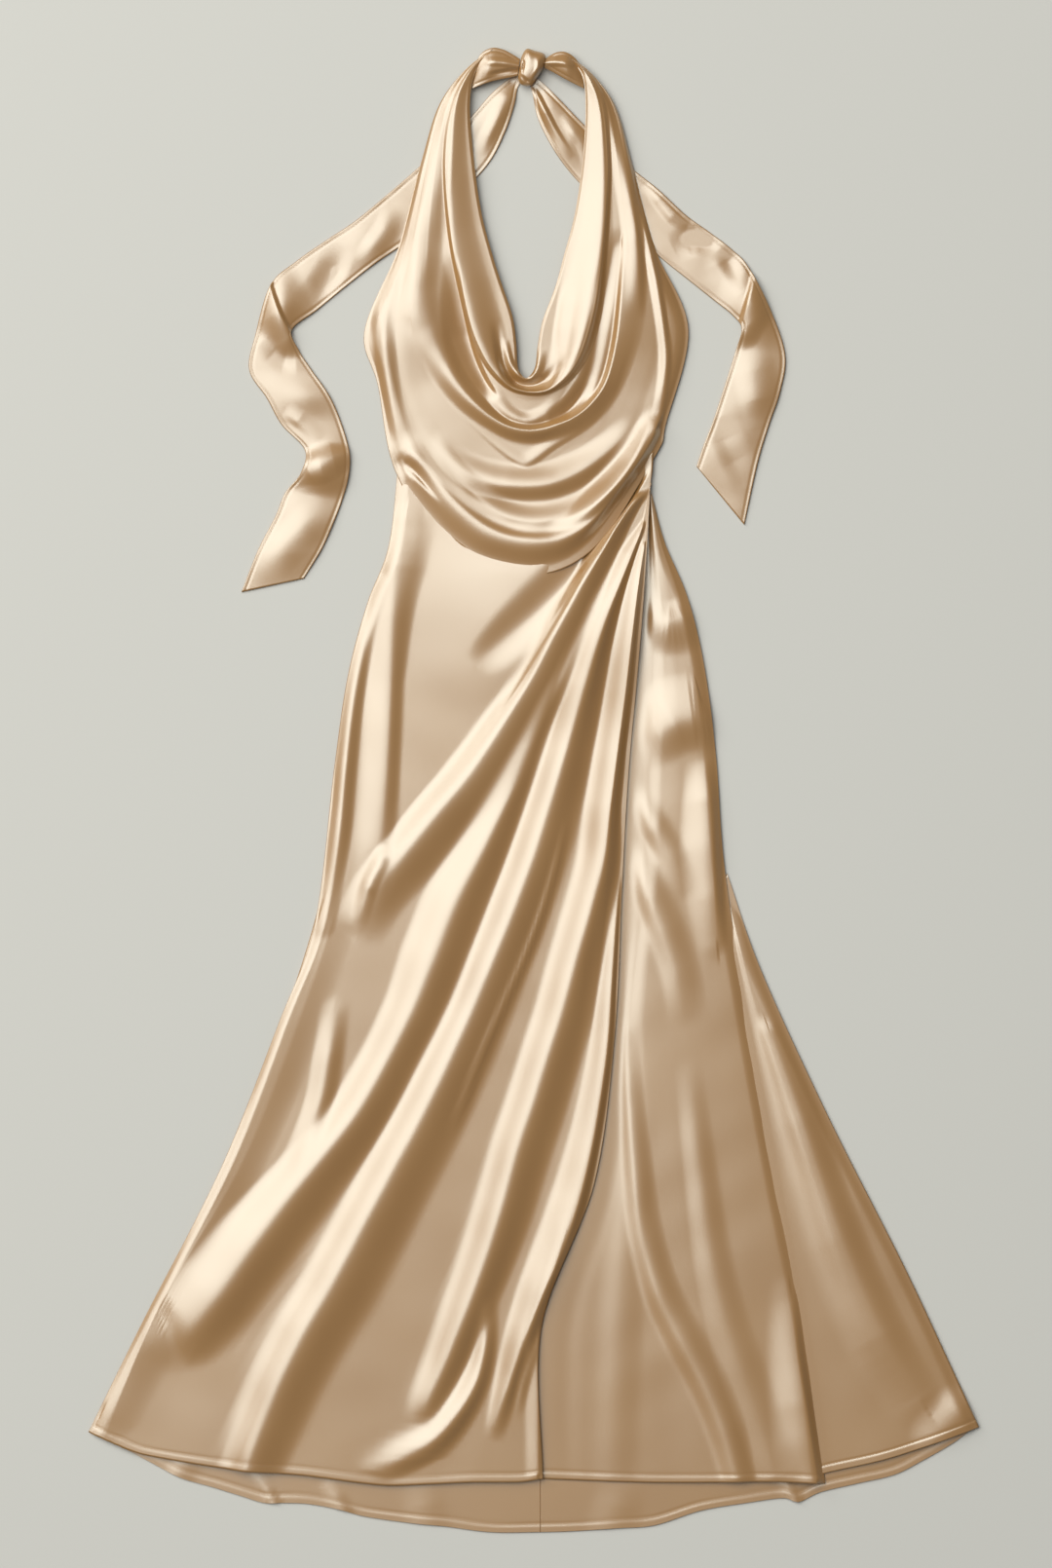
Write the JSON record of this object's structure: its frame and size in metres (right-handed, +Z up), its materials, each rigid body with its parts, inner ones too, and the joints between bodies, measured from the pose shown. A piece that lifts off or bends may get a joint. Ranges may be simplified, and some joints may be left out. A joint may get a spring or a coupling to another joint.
{
  "type": "halter dress",
  "caption": "Floor-length satin halter dress laid out flat, with a draped cowl front, a wrap skirt pleated into the left side seam, a side godet and long tie ends",
  "frame": {"origin": "the middle of the box round the laid-out dress, on the surface that it lies on", "axes": "+X towards the wearer's left, +Y from the hem to the neck, +Z up from the surface through the back to the front"},
  "size_m": [0.9606, 1.6, 0.021],
  "materials": {
    "satin": "champagne satin, smooth, with a soft sheen"
  },
  "bodies": {
    "root": {"front_bodice": "satin", "front_wrap_skirt": "satin", "front_under_skirt": "satin", "side_godet": "satin", "back_right": "satin", "back_left": "satin", "neck_band_right": "satin", "neck_band_left": "satin", "neck_knot": "satin", "tie_right": "satin", "tie_left": "satin"}
  },
  "joints": []
}
